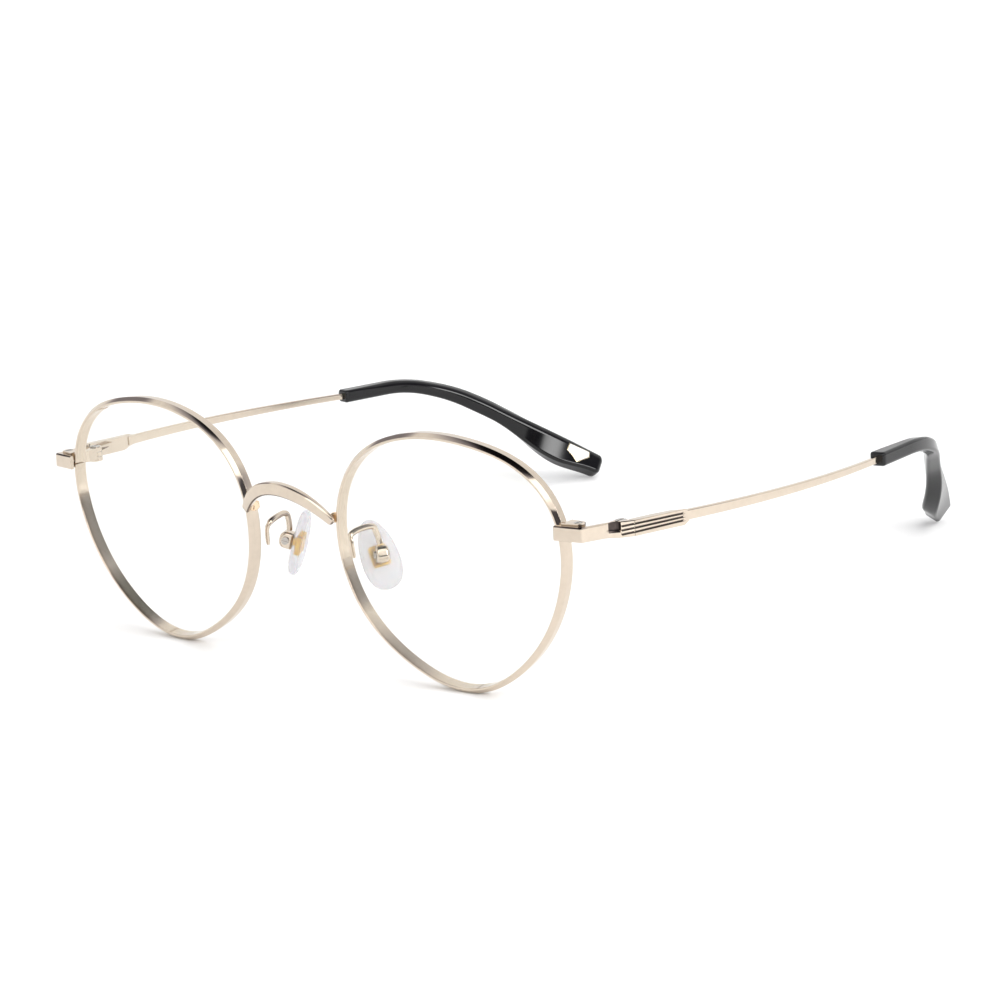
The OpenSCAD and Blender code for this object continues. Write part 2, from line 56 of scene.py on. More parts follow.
# ---------------------------------------------------------------- dimensions, in mm
# Working coordinates: x to the right seen from the front, y to the back, z up from the floor.
BACK = 63.25                      # how far the frame is moved forward, to centre it in y
RIM_C = (36.7, 23.9)              # centre of a lens, x and z
RIM_T, RIM_D, RIM_BEVEL = 1.05, 2.3, 0.65    # rim band: thickness, depth, bevel of its outer front edge
LENS_T = 1.3                      # thickness of a lens
BASE = 156.0                      # radius of the ball that rims and lenses lie on
WRAP, TILT = math.radians(3.4), math.radians(1.5)
SPLIT, SPLIT_GAP = 15.0, 0.35     # where each rim is split and half the gap, in degrees round the rim
END_TOP = 32.35                   # top of the end pieces
BLOCK_END = 24.8                  # y where a temple's grooved block ends and its bar goes on

# Bridge: half its span, height of its middle, drop and bow to its feet, height and depth of its bar
HALF, B_Z, B_DROP, B_BOW, B_FACE, B_DEPTH = 11.3, 33.7, 5.8, 2.9, 1.9, 1.9

# Tips: length before the bend, how far the bend reaches, thickness at the end and twist
BEND, ROUND, THICK, TWIST = 20.6, 10.2, 3.4, math.radians(38)

# Nose pads: centre, turns about z, y and x, half width, half height and half thickness; then the
# centre of the box behind each pad, counted from the pad's, and the box's size
PAD_C = Vector((10.1, 11.25, 19.35))
PAD_SPLAY, PAD_LEAN, PAD_ROLL = map(math.radians, (31.0, 19.5, 10.0))
PAD_WIDE, PAD_TALL, PAD_HALF = 3.45, 6.45, 0.95
BOX_AT = Vector((2.5, 0.05, -0.2))
BOX = (2.5, 2.3, 3.1)


# ---------------------------------------------------------------- materials
def add_bump(tree, shader, scale, strength, distance):
    """Fine procedural unevenness of the surface; gives the noise that drives it."""
    pos = tree.nodes.new("ShaderNodeTexCoord")
    noise = tree.nodes.new("ShaderNodeTexNoise")
    noise.inputs["Scale"].default_value = scale
    noise.inputs["Detail"].default_value = 2.0
    bump = tree.nodes.new("ShaderNodeBump")
    bump.inputs["Strength"].default_value = strength
    bump.inputs["Distance"].default_value = distance
    tree.links.new(pos.outputs["Object"], noise.inputs["Vector"])
    tree.links.new(noise.outputs["Fac"], bump.inputs["Height"])
    tree.links.new(bump.outputs["Normal"], shader.inputs["Normal"])
    return noise


def add_tint(tree, shader, noise, low, high):
    """Colour that wanders a little between two tones."""
    ramp = tree.nodes.new("ShaderNodeValToRGB")
    ramp.color_ramp.elements[0].position = 0.35
    ramp.color_ramp.elements[1].position = 0.65
    ramp.color_ramp.elements[0].color = (*low, 1)
    ramp.color_ramp.elements[1].color = (*high, 1)
    tree.links.new(noise.outputs["Fac"], ramp.inputs["Fac"])
    tree.links.new(ramp.outputs["Color"], shader.inputs["Base Color"])


def surface(name, low, high, scale, bump, distance, **base):
    """A Principled material between two tones with a faint bump; base sets the shader's sockets."""
    material = bpy.data.materials.new(name)
    material.use_nodes = True
    tree = material.node_tree
    shader = tree.nodes["Principled BSDF"]
    for key, value in base.items():
        shader.inputs[key].default_value = value
    noise = add_bump(tree, shader, scale, bump, distance)
    add_tint(tree, shader, noise, low, high)
    return material


def metal(name, low, high, rough):
    """A polished metal between two tones."""
    return surface(name, low, high, 900.0, 0.05, 0.00002, Metallic=1.0, Roughness=rough)


GOLD = metal("champagne_metal", (0.635, 0.545, 0.448), (0.665, 0.572, 0.472), 0.08)
BRAZE = metal("brazed_gold", (0.82, 0.64, 0.44), (0.88, 0.70, 0.50), 0.12)
SCREW = metal("screw_steel", (0.42, 0.39, 0.36), (0.50, 0.47, 0.44), 0.22)
# painted shade for the grooves and a painted dark reflection for the end pieces' scoops
PAINTED_DARK_SHADE_REFLECTION = metal("painted_groove_shade_scoop_reflection", (0.075, 0.060, 0.055), (0.095, 0.078, 0.070), 0.30)
# painted dark reflection for the bridge's lower bevel and the end pieces' front bevel
PAINTED_BEVEL_REFLECTION = metal("painted_bevel_reflection", (0.16, 0.12, 0.10), (0.20, 0.155, 0.125), 0.16)
# painted highlight: the gold inlay's outer face made pale
PAINTED_HIGHLIGHT_PLATE = surface("painted_highlight_plate", (0.95, 0.93, 0.84), (0.97, 0.95, 0.88), 900.0, 0.03, 0.00002,
                Metallic=0.25, Roughness=0.3)
INLAY = metal("gold_inlay", (0.93, 0.80, 0.50), (0.98, 0.86, 0.58), 0.10)
INSERT = metal("gold_insert", (0.92, 0.54, 0.05), (0.98, 0.62, 0.09), 0.22)
TIP = surface("black_acetate", (0.002, 0.002, 0.0025), (0.004, 0.004, 0.0045), 500.0, 0.04, 0.00003,
              Roughness=0.12, IOR=1.44)
PAD = surface("clear_silicone", (0.43, 0.42, 0.46), (0.47, 0.46, 0.50), 700.0, 0.05, 0.00003,
              Roughness=0.16, IOR=1.41, Alpha=0.38,
              **{"Subsurface Weight": 0.3, "Subsurface Scale": 0.001})
LENS = surface("clear_lens", (0.93, 0.92, 0.74), (0.95, 0.94, 0.78), 60.0, 0.01, 0.00002,
               Roughness=0.03, IOR=1.5, Alpha=0.05)
FLOOR = surface("pale_floor", (0.93, 0.93, 0.925), (0.945, 0.945, 0.94), 40.0, 0.02, 0.0002,
                Roughness=0.6, **{"Specular IOR Level": 0.2})


# ---------------------------------------------------------------- mesh helpers
def in_frame(p):
    """A working point in metres in the shared frame, kept inside the CAD's box."""
    x, y, z = p
    return tuple(min(max(v, lo), hi) for v, lo, hi in zip((x * MM, (y - BACK) * MM, z * MM), *cad_box))


def make_piece(name, verts, faces, material, body, replaced, slot, sharp):
    """A named piece that rides on a body and replaces CAD nodes; edges over sharp degrees stay sharp."""
    mesh = bpy.data.meshes.new(name)
    mesh.from_pydata([in_frame(p) for p in verts], [], faces)
    bm = bmesh.new()
    bm.from_mesh(mesh)
    bmesh.ops.recalc_face_normals(bm, faces=bm.faces)
    bm.to_mesh(mesh)
    bm.free()
    mesh.shade_smooth()
    mesh.set_sharp_from_angle(angle=math.radians(sharp))
    mesh.materials.append(material)
    ob = bpy.data.objects.new(name, mesh)
    scene.collection.objects.link(ob)
    flat = ob.modifiers.new("flat_faces", "WEIGHTED_NORMAL")
    flat.keep_sharp = True
    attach(ob, body)
    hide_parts(*replaced)
    return ob


def loft(rings):
    """Points and faces of a closed skin over rings of equal count."""
    n, m = len(rings[0]), len(rings)
    verts = [tuple(p) for r in rings for p in r]
    faces = []
    for i in range(m - 1):
        k = i + 1
        faces += [(i * n + j, i * n + (j + 1) % n, k * n + (j + 1) % n, k * n + j) for j in range(n)]
    faces.append(tuple(range(n - 1, -1, -1)))
    faces.append(tuple((m - 1) * n + j for j in range(n)))
    return verts, faces


def joined(*skins):
    """Several skins as one mesh."""
    verts, faces = [], []
    for v, f in skins:
        n = len(verts)
        verts += v
        faces += [tuple(n + q for q in face) for face in f]
    return verts, faces


def mirrored(verts, side):
    """The points for the right (1) or the left (-1) side."""
    return [(side * x, y, z) for x, y, z in verts]


def rounded(poly, radii, q=4):
    """A polygon with rounded corners: one radius per corner, q points each."""
    out = []
    n = len(poly)
    for i in range(n):
        p, a, b = Vector(poly[i]), Vector(poly[i - 1]), Vector(poly[(i + 1) % n])
        r = radii[i] if isinstance(radii, (list, tuple)) else radii
        if r <= 0:
            out.append(tuple(p))
            continue
        u, v = (a - p).normalized(), (b - p).normalized()
        half = u.angle(v) / 2
        d = min(r / math.tan(half), 0.49 * (a - p).length, 0.49 * (b - p).length)
        r = d * math.tan(half)
        c = p + (u + v).normalized() * (r / math.sin(half))
        s, e = p + u * d - c, p + v * d - c
        t = s.angle(e)
        for k in range(q):
            f = k / (q - 1)
            w = (math.sin((1 - f) * t) * s + math.sin(f * t) * e) / math.sin(t)
            out.append(tuple(c + w))
    return out


def smooth_lookup(x, table):
    """Interpolation in a list of (x, value), level at each entry."""
    if x <= table[0][0]:
        return table[0][1]
    for (a, p), (b, q) in zip(table, table[1:]):
        if x <= b:
            u = (x - a) / (b - a)
            return p + (q - p) * u * u * (3 - 2 * u)
    return table[-1][1]


# ---------------------------------------------------------------- rims and lenses
def rim_r(a):
    """Outer radius of the rim at an angle round its centre."""
    return (24.5 + 1.5 * math.cos(2 * a) + 0.28 * math.sin(2 * a) + 0.97 * math.sin(3 * a)
            + 0.21 * math.sin(4 * a) - 0.13 * math.cos(6 * a))


def rim_dr(a):
    """Slope of rim_r."""
    return (-3.0 * math.sin(2 * a) + 0.56 * math.cos(2 * a) + 2.91 * math.cos(3 * a)
            + 0.84 * math.cos(4 * a) + 0.78 * math.sin(6 * a))


def in_rim(p):
    """A point given round the lens centre, with the frame's wrap and tilt."""
    x, y, z = p
    x, y = x * math.cos(WRAP) - y * math.sin(WRAP), x * math.sin(WRAP) + y * math.cos(WRAP)
    y, z = y * math.cos(TILT) - z * math.sin(TILT), y * math.sin(TILT) + z * math.cos(TILT)
    return x + RIM_C[0], y, z + RIM_C[1]


def on_rim(a, inset, depth):
    """Point of the rim band, inset from its outer face and a depth behind its front, before in_rim."""
    r = rim_r(a)
    facing = a - math.atan2(rim_dr(a), r)
    lean = math.asin(r / BASE / 2)
    inward = inset * math.cos(lean) + depth * math.sin(lean)
    return (r * math.cos(a) - inward * math.cos(facing),
            r * r / (2 * BASE) - inset * math.sin(lean) + depth * math.cos(lean),
            r * math.sin(a) - inward * math.sin(facing))


def lens_point(a, f, depth):
    """Fraction f of the way out to the lens's edge, on a face at a depth."""
    gap = 0.04
    x, y, z = on_rim(a, RIM_T + gap, depth)
    return in_rim((f * x, y - (1 - f * f) * (x * x + z * z) / (2 * BASE), f * z))


def rim_section():
    """Outline of the rim band, as inset and depth."""
    t, d = RIM_T, RIM_D
    poly = [(0, RIM_BEVEL), (RIM_BEVEL, 0), (t, 0), (t, d), (0, d)]
    return rounded(poly, [0.05, 0.05, 0.12, 0.13, 0.26], 5)


def rim_skin():
    """A rim, from one side of its split round to the other."""
    section = rim_section()
    count = 320
    turn = 360 - 2 * SPLIT_GAP
    rings = []
    for i in range(count + 1):
        a = math.radians(SPLIT + SPLIT_GAP + turn * i / count)
        rings.append([in_rim(on_rim(a, *p)) for p in section])
    return loft(rings)


def lens_skin():
    """A lens, from the middle of its front face over the edge to the middle of its back."""
    steps = 160
    angles = [math.tau * i / steps for i in range(steps)]
    front, back = (RIM_D - LENS_T) / 2, (RIM_D + LENS_T) / 2
    radii = [0.01, 0.15, 0.3, 0.45, 0.6, 0.75, 0.9, 1.0]
    stations = [(f, front) for f in radii] + [(f, back) for f in reversed(radii)]
    return loft([[lens_point(a, f, depth) for a in angles] for f, depth in stations])


def build_rims():
    """Both rims and both lenses."""
    rim, rim_faces = rim_skin()
    lens, lens_faces = lens_skin()
    for side, word in SIDES:
        make_piece(f"rim_wire_{word}", mirrored(rim, side), rim_faces, GOLD, "front",
                   [f"rim_{word}"], "frame_metal", 32)
        make_piece(f"lens_clear_{word}", mirrored(lens, side), lens_faces, LENS, "front",
                   [f"lens_{word}"], "lens", 25)


# ---------------------------------------------------------------- bridge
def bridge_mid(t):
    """Centre of the bridge; t runs from -1 at the left foot to 1 at the right."""
    return Vector((HALF * t, B_BOW * (t * t - 1) - 0.25, B_Z - B_DROP * (0.87 * t * t + 0.13 * t ** 4)))


def bridge_section(t):
    """Outline of the bridge at t, as depth and height: thinner at the feet, bevelled at the front."""
    h = B_FACE / 2 * (1 - 0.36 * t ** 4)
    depth = B_DEPTH * (1 - 0.45 * t * t)
    bevel = 0.22
    high = h + bevel
    poly = [(0, -h), (0, h), (bevel, high), (depth - 0.5, high), (depth, h * 0.6), (depth, -h * 0.6),
            (depth - 0.5, -high), (bevel, -high)]
    poly = rounded(poly, [0.07, 0.07, 0.1, 0.35, 0.35, 0.35, 0.35, 0.1], 4)
    # the last stretch before each foot's end is drawn in to a soft nose
    nose = 0.4
    edge = (1 - abs(t)) * HALF
    squeeze = 1.0
    if edge < nose:
        squeeze = math.sqrt(max(0.0, 1 - (1 - edge / nose) ** 2)) * 0.55 + 0.45
    mid = depth / 2
    return [(mid + (x - mid) * squeeze, y * squeeze) for x, y in poly]


def bridge_skin():
    """The arched bar, set square to its centre line all along."""
    rings = []
    count = 120
    for i in range(count + 1):
        t = 2 * i / count - 1
        along = (bridge_mid(t + 0.005) - bridge_mid(t - 0.005)).normalized()
        up = Vector((-along.z, 0, along.x)).normalized()
        back = up.cross(along).normalized()
        mid = bridge_mid(t)
        rings.append([mid + back * x + up * y for x, y in bridge_section(t)])
    return loft(rings)


def foot_skin():
    """Brazed foot between the bridge and the right rim."""
    outline = rounded([(-0.36, -0.95), (0.36, -0.95), (0.36, 0.95), (-0.36, 0.95)], 0.3, 5)
    rings = []
    for k in range(9):
        f = k / 8
        swell = math.sin(math.pi * (0.12 + 0.76 * f)) ** 0.5
        rings.append([(10.22 + x * swell, 0.38 + 2.1 * f, 28.6 + z * swell) for x, z in outline])
    return loft(rings)


def build_bridge():
    """The bridge with its feet, which are brazed gold; its lower front bevel carries a painted dark
    reflection.
    """
    bar_skin = bridge_skin()
    plain = len(bar_skin[1])
    foot, foot_faces = foot_skin()
    feet = [(mirrored(foot, side), foot_faces) for side in (-1, 1)]
    bar = make_piece("bridge_bar", *joined(bar_skin, *feet), GOLD, "front", ["bridge"], "frame_metal", 28)
    bar.data.materials.append(BRAZE)
    bar.data.materials.append(PAINTED_BEVEL_REFLECTION)
    for face in bar.data.polygons:
        if face.index >= plain:
            face.material_index = 1
        # the lower front bevel: painted dark reflection
        elif face.normal.y < -0.35 and face.normal.z < -0.35:
            face.material_index = 2


# ---------------------------------------------------------------- end pieces, blocks and bars
SLOPE, SLOPE_Y = math.radians(4.4), 3.5   # the end pieces and blocks fall towards the back from here
RING = 28                         # points in a ring of an end piece, block or bar
GROOVES = 3
GROOVE_HALF = 0.14                # half the width of a groove
TEMPLE_TOP = END_TOP + 0.05
TEMPLE_BOTTOM = TEMPLE_TOP - 2.75
BAR_X, BAR_Z = 70.3, 29.6         # centre of a temple's bar at BLOCK_END
BAR_OUT, BAR_CURVE = 0.155, 0.0034
BAR_FALL = math.tan(math.radians(3.8))
BAR_STOP = 80.0                   # y where the bar enters the tip


def sloped(p):
    """A point turned about x by the slope of the end pieces."""
    x, y, z = p
    c, s = math.cos(-SLOPE), math.sin(-SLOPE)
    dy, dz = y - SLOPE_Y, z - END_TOP
    return x, SLOPE_Y + dy * c - dz * s, END_TOP + dy * s + dz * c


def bar_ring(outer, inner, top, bottom, cut, bevel, scoop=0.0, grooves=(0.7, 0.7)):
    """One ring of an end piece or block, from its outer top edge down and round by the inside.

    outer and inner are the ends of the section in plan, cut is the depth of the grooves and scoop
    that of the hollow in the outer face. grooves holds the first groove's distance below the top
    and the step to the next.
    """
    start, end = Vector((*outer, 0)), Vector((*inner, 0))
    inward = (end - start).normalized()
    wide = (end - start).length
    corner = 0.12
    ring = []

    def put(depth, z):
        """Add a point that lies a depth in from the outer face."""
        q = start + inward * depth
        ring.append(sloped((q.x, q.y, z)))

    def hollow(z):
        """How far the scoop takes the outer face in at a height."""
        f = (z - (top - 1.75)) / 0.5
        return scoop * min(1.0, max(0.0, f))

    put(bevel + hollow(top), top)
    put(bevel * 0.5 + hollow(top), top - bevel * 0.5)
    put(hollow(top), top - bevel)
    first, step = grooves
    lip = GROOVE_HALF + 0.05
    for k in range(GROOVES):
        mid = TEMPLE_TOP - first - k * step
        for z, depth in ((mid + lip, 0), (mid + GROOVE_HALF, cut * 0.4), (mid + GROOVE_HALF * 0.6, cut),
                         (mid - GROOVE_HALF * 0.6, cut), (mid - GROOVE_HALF, cut * 0.4), (mid - lip, 0)):
            z = min(z, top - bevel - 0.01)
            z = max(z, bottom + bevel + 0.01)
            put(hollow(z) + depth, z)
    put(0, bottom + bevel)
    put(bevel * 0.3, bottom + bevel * 0.3)
    put(bevel, bottom)
    put(wide - corner, bottom)
    put(wide, bottom + corner)
    put(wide, top - corner)
    put(wide - corner, top)
    return ring


def end_skin():
    """The end piece, from the rim round its corner to the hinge."""
    top, low = END_TOP, END_TOP - 2.55
    # outer point, inner point, top, bottom, groove depth, bevel, scoop
    stations = [((61.52, 2.56), (61.52, 3.28), top - 0.06, low + 0.06, 0, 0.16, 0),
                ((61.6, 2.52), (61.6, 3.32), top, low, 0, 0.24, 0),
                ((64.0, 2.93), (63.9, 3.78), top, low, 0, 0.26, 0),
                ((66.35, 3.33), (66.0, 4.22), top, low, 0, 0.26, 0),
                ((66.72, 3.40), (66.1, 4.4), top, low, 0, 0.26, 0),
                ((66.98, 3.58), (66.2, 4.6), top, low, 0, 0.24, 0),
                ((67.08, 3.85), (66.25, 4.8), top, low, 0, 0.24, 0),
                ((67.3, 5.2), (66.35, 5.5), top, low, 0, 0.24, 0),
                ((67.65, 7.2), (66.8, 7.6), top, low, 0, 0.24, 0),
                ((67.86, 8.4), (67.1, 9.0), top, low, 0, 0.22, 0),
                ((68.0, 9.15), (67.25, 9.45), top, low - 0.02, 0, 0.16, 0.22),
                ((68.35, 9.75), (67.6, 10.1), top + 0.01, low - 0.06, 0, 0.12, 0.5),
                ((68.80, 10.55), (68.0, 10.85), top + 0.03, low - 0.10, 0, 0.10, 0.62),
                ((68.98, 10.92), (68.18, 11.1), top + 0.04, low - 0.12, 0, 0.10, 0.5),
                ((69.03, 11.0), (68.22, 11.2), top + 0.05, low - 0.13, 0, 0.12, 0),
                ((69.12, 11.16), (68.28, 11.4), top + 0.05, low - 0.14, 0.13, 0.14, 0),
                ((69.5, 11.95), (68.45, 12.3), top + 0.05, low - 0.15, 0.17, 0.14, 0),
                ((70.08, 13.12), (68.58, 13.12), top + 0.05, low - 0.15, 0.18, 0.14, 0),
                ((70.12, 13.22), (68.62, 13.22), top + 0.01, low - 0.11, 0.18, 0.12, 0)]
    rings = []
    for row in stations:
        y = row[0][1]
        grooves = (0.80 - 0.1 * (y - 11.16), 0.70) if y > 11 else (0.6, 0.7)
        rings.append(bar_ring(*row, grooves=grooves))
    return loft(rings)


def block_skin():
    """The grooved block behind the hinge."""
    top, low = TEMPLE_TOP, TEMPLE_BOTTOM
    # outer point, inner point, top, bottom, groove depth, bevel
    stations = [((70.12, 13.31), (68.62, 13.31), top - 0.04, low + 0.04, 0.2, 0.12),
                ((70.16, 13.4), (68.6, 13.4), top, low, 0.21, 0.14),
                ((70.52, 18.4), (68.85, 18.4), top, low, 0.22, 0.14),
                ((70.92, 24.0), (69.38, 21.9), top, low, 0.22, 0.14),
                ((70.95, 24.8), (69.47, 22.5), top, low, 0.22, 0.14),
                ((70.95, 25.05), (69.53, 22.8), top - 0.01, low + 0.02, 0.12, 0.14),
                ((70.95, 25.2), (69.62, 23.1), top - 0.04, low + 0.09, 0, 0.14),
                ((70.92, 25.7), (69.68, 23.55), top - 0.20, low + 0.34, 0, 0.16),
                ((70.86, 26.2), (69.72, 23.9), top - 0.40, low + 0.54, 0, 0.18)]
    rings = []
    for row in stations:
        back = (row[0][1] - 13.3) / 11.5
        rings.append(bar_ring(*row, grooves=(0.60 + 0.08 * back, 0.70 - 0.10 * back)))
    return loft(rings)


def temple_line(y):
    """Centre of a temple's bar at y, and its direction in plan."""
    s = y - BLOCK_END
    centre = (BAR_X + BAR_OUT * s - BAR_CURVE * s * s, y, BAR_Z - BAR_FALL * s)
    return centre, Vector((BAR_OUT - 2 * BAR_CURVE * s, 1, 0)).normalized()


def bar_skin():
    """The slim bar from inside the block to the tip, tapering in height."""
    start, stop, count = 23.85, 79.95, 60
    rings = []
    for k in range(count + 1):
        y = start + (stop - start) * k / count
        (cx, cy, cz), along = temple_line(y)
        h = 1.75 / 2 - 0.0055 * (y - BLOCK_END)
        outline = rounded([(0.5, h), (0.5, -h), (-0.5, -h), (-0.5, h)], 0.2, RING // 4)
        rings.append([(cx + along.y * x, cy - along.x * x, cz + z) for x, z in outline])
    return loft(rings)


def groove_face(index, ring_from, ring_to):
    """Whether a face lies in one of the grooves, between two rings."""
    row, col = divmod(index, RING)
    return ring_from <= row < ring_to and 3 <= col < 21 and (col - 3) % 6 < 5


def end_shade(index):
    """Material slot of an end piece's face: painted shade in the grooves, a painted dark reflection in the
    scoop, and a half-dark painted reflection on the front bevel.
    """
    row, col = divmod(index, RING)
    if 1 <= row < 5 and col < 2:
        return 2
    return 1 if groove_face(index, 15, 18) or (10 <= row < 14 and 1 <= col < 14) else 0


def build_ends():
    """End pieces, and the temples' blocks and bars."""
    end, end_faces = end_skin()
    temple, temple_faces = joined(block_skin(), bar_skin())
    for side, word in SIDES:
        piece = make_piece(f"end_bar_{word}", mirrored(end, side), end_faces, GOLD, "front",
                           [f"end_piece_{word}"], "frame_metal", 24)
        piece.data.materials.append(PAINTED_DARK_SHADE_REFLECTION)
        piece.data.materials.append(PAINTED_BEVEL_REFLECTION)
        # painted shade in the grooves, painted dark reflections in the scoop and on the front bevel
        for face in piece.data.polygons:
            face.material_index = end_shade(face.index)
        piece = make_piece(f"temple_bar_{word}", mirrored(temple, side), temple_faces, GOLD,
                           f"temple_{word}", [f"temple_{word}"], "frame_metal", 24)
        piece.data.materials.append(PAINTED_DARK_SHADE_REFLECTION)
        # painted shade in the grooves of the temple blocks
        for face in piece.data.polygons:
            face.material_index = int(groove_face(face.index, 1, 4))


# ---------------------------------------------------------------- tips
T_START = Vector(temple_line(BAR_STOP)[0])
T_HEAD = Vector((-0.165, 1, -0.044)).normalized()
T_CORNER = T_START + BEND * T_HEAD
T_END = Vector((44.2, 127.4, 1.9))
T_DROP = (T_END - T_CORNER).normalized()
T_LEN = BEND + (T_END - T_CORNER).length


def tip_mid(s):
    """Centre of a tip at a length s along it: straight, an eased bend, straight."""
    if s < BEND - ROUND:
        return T_START + s * T_HEAD
    if s > BEND + ROUND:
        return T_CORNER + (s - BEND) * T_DROP
    u = (s - BEND + ROUND) / (2 * ROUND)
    return T_CORNER - ROUND * (1 - u) ** 2 * T_HEAD + ROUND * u * u * T_DROP


def tip_frame(s):
    """Outward, upward and forward directions of a tip at s; it twists towards its end."""
    d = (tip_mid(min(s + 0.2, T_LEN)) - tip_mid(max(s - 0.2, 0))).normalized()
    lat = d.cross(Vector((0, 0, 1))).normalized()
    up = lat.cross(d)
    t = smooth_lookup(s, [(BEND - ROUND, 0), (BEND + ROUND, -TWIST / 2.4), (T_LEN, TWIST)])
    return math.cos(t) * lat - math.sin(t) * up, math.sin(t) * lat + math.cos(t) * up, d


def tip_sizes(s):
    """How far a tip reaches below and above its centre, and half its thickness."""
    low = smooth_lookup(s, [(0, 1.28), (BEND, 1.3), (BEND + 16, 0.7), (T_LEN - 9, 3.1), (T_LEN, 1.85)])
    high = smooth_lookup(s, [(0, 1.28), (BEND, 1.3), (BEND + 16, 2.3), (T_LEN - 5, 2.7), (T_LEN, 2.75)])
    half = smooth_lookup(s, [(0, 1.5), (BEND, 1.3), (T_LEN, THICK / 2)])
    return low, high, half


def tip_ring(s, shrink=0.0, ahead=0.0):
    """Section of a tip at s, drawn in by shrink and moved on by ahead."""
    lat, up, d = tip_frame(s)
    low, high, half = (v - shrink for v in tip_sizes(s))
    mid = tip_mid(s) + d * ahead
    soft = smooth_lookup(s, [(2, 0.5), (12, 1.0), (T_LEN - 12, 1.5)])
    poly = rounded([(half, high), (-half, high), (-half, -low), (half, -low)],
                   [max(0.1, r - shrink * 0.5) for r in (0.6, soft, 0.7, 0.6)], 8)
    return [mid + lat * x + up * z for x, z in poly]


def tip_skin():
    """The acetate sleeve, with a rounded mouth and a rounded end."""
    mouth, start, stop, count = ((0.42, -0.02), (0.24, 0.05), (0.1, 0.18)), 0.4, T_LEN - 0.7, 130
    rings = [tip_ring(0, shrink, ahead) for shrink, ahead in mouth]
    rings += [tip_ring(start + (stop - start) * k / count) for k in range(count + 1)]
    rings += [tip_ring(T_LEN, 1.1 * (1 - math.cos(q)), 1.25 * math.sin(q) - 0.7)
              for q in (math.radians(10 * k) for k in range(1, 9))]
    return loft(rings)


def inlay_skin():
    """The faceted plate on the inner face of the tip, just proud of it and following its twist."""
    s, mid_z = T_LEN - 5.4, 0.3
    outline = rounded([(0.4, -1.8), (2.7, 0.5), (2.4, 1.65), (-2.5, 1.6), (-2.5, 0.0), (-1.2, -0.6)], 0.12, 3)
    rings = []
    for grow, depth in ((0, -0.45), (0, 0.01), (0.05, 0.06), (0.16, 0.08)):
        k = 1 - grow / 2.0
        ring = []
        for x, y in outline:
            lat, up = tip_frame(s + x)[:2]
            half = tip_sizes(s + x)[2]
            ring.append(tip_mid(s + x * k) - lat * (half + depth) + up * (mid_z + (y - mid_z) * k))
        rings.append(ring)
    return loft(rings)


def build_tips():
    """The tips and their inlays, whose outer faces are painted pale as a highlight."""
    tip, tip_faces = tip_skin()
    inlay, inlay_faces = inlay_skin()
    for side, word in SIDES:
        make_piece(f"tip_acetate_{word}", mirrored(tip, side), tip_faces, TIP, f"temple_{word}",
                   [f"temple_tip_{word}"], "tip_acetate", 50)
        plate = make_piece(f"tip_plate_{word}", mirrored(inlay, side), inlay_faces, INLAY, f"temple_{word}",
                           [f"tip_inlay_{word}"], "inlay_metal", 20)
        plate.data.materials.append(PAINTED_HIGHLIGHT_PLATE)
        # the plate's outer face: painted highlight
        plate.data.polygons[-1].material_index = 1


# ---------------------------------------------------------------- nose pads
PAD_M = (Matrix.Translation(PAD_C) @ Matrix.Rotation(-PAD_SPLAY, 4, "Z")
         @ Matrix.Rotation(-PAD_LEAN, 4, "Y"))
ROLL_M = PAD_M @ Matrix.Rotation(PAD_ROLL, 4, "X")
ARM_ROUTE = [Vector(p) for p in ((10.95, 4.3, 20.6), (10.8, 4.25, 23.3), (10.45, 4.5, 24.35),
                                 (10.4, 5.3, 24.9), (10.6, 6.9, 25.2), (11.0, 8.6, 25.25),
                                 (11.15, 9.6, 24.95), (11.2, 10.0, 24.2), (11.4, 10.3, 22.8),
                                 (11.62, 10.4, 21.72))]
ARM_R = 0.55                      # radius of the arm's wire


def pad_outline(a):
    """Edge of a pad at an angle: an oval, narrower at the top."""
    c, s = math.cos(a), math.sin(a)
    w = PAD_WIDE * (1 - 0.2 * s)
    return (w * math.copysign(abs(c) ** 0.9, c), PAD_TALL * math.copysign(abs(s) ** 0.9, s))


def pad_skin():
    """The silicone pad, from the middle of one face over the soft edge to the middle of the other."""
    steps = 72
    angles = [math.tau * k / steps for k in range(steps)]
    # share of the way out, share of the half thickness
    profile = [(0.02, 1), (0.4, 0.995), (0.65, 0.98), (0.80, 0.93), (0.89, 0.84), (0.95, 0.68),
               (0.985, 0.45), (1.0, 0.15)]
    stations = [(f, PAD_HALF * x) for f, x in profile] + [(f, -PAD_HALF * x) for f, x in reversed(profile)]
    return loft([[ROLL_M @ Vector((x, *(f * v for v in pad_outline(a)))) for a in angles]
                 for f, x in stations])


def plate_skin(matrix, lo, hi, r):
    """A block from corner lo to corner hi, with rounded corners in y and z and softened faces."""
    ring = rounded([(lo[1], lo[2]), (hi[1], lo[2]), (hi[1], hi[2]), (lo[1], hi[2])], r, 5)
    cy, cz = (lo[1] + hi[1]) / 2, (lo[2] + hi[2]) / 2
    soft, shrink = 0.08, 0.93

    def at(x, k):
        return [matrix @ Vector((x, cy + (y - cy) * k, cz + (z - cz) * k)) for y, z in ring]
    return loft([at(lo[0], shrink), at(lo[0] + soft, 1), at(hi[0] - soft, 1), at(hi[0], shrink)])


def insert_skin():
    """The gilt insert: a plate inside the pad and a tongue that reaches into the box."""
    by, bz = BOX_AT.y, BOX_AT.z
    return joined(plate_skin(ROLL_M, (-0.6, -1.6, -2.2), (0.5, 1.6, 1.7), 0.5),
                  plate_skin(PAD_M, (0.3, by - 0.5, bz - 0.7), (3.05, by + 0.5, bz + 0.7), 0.2))


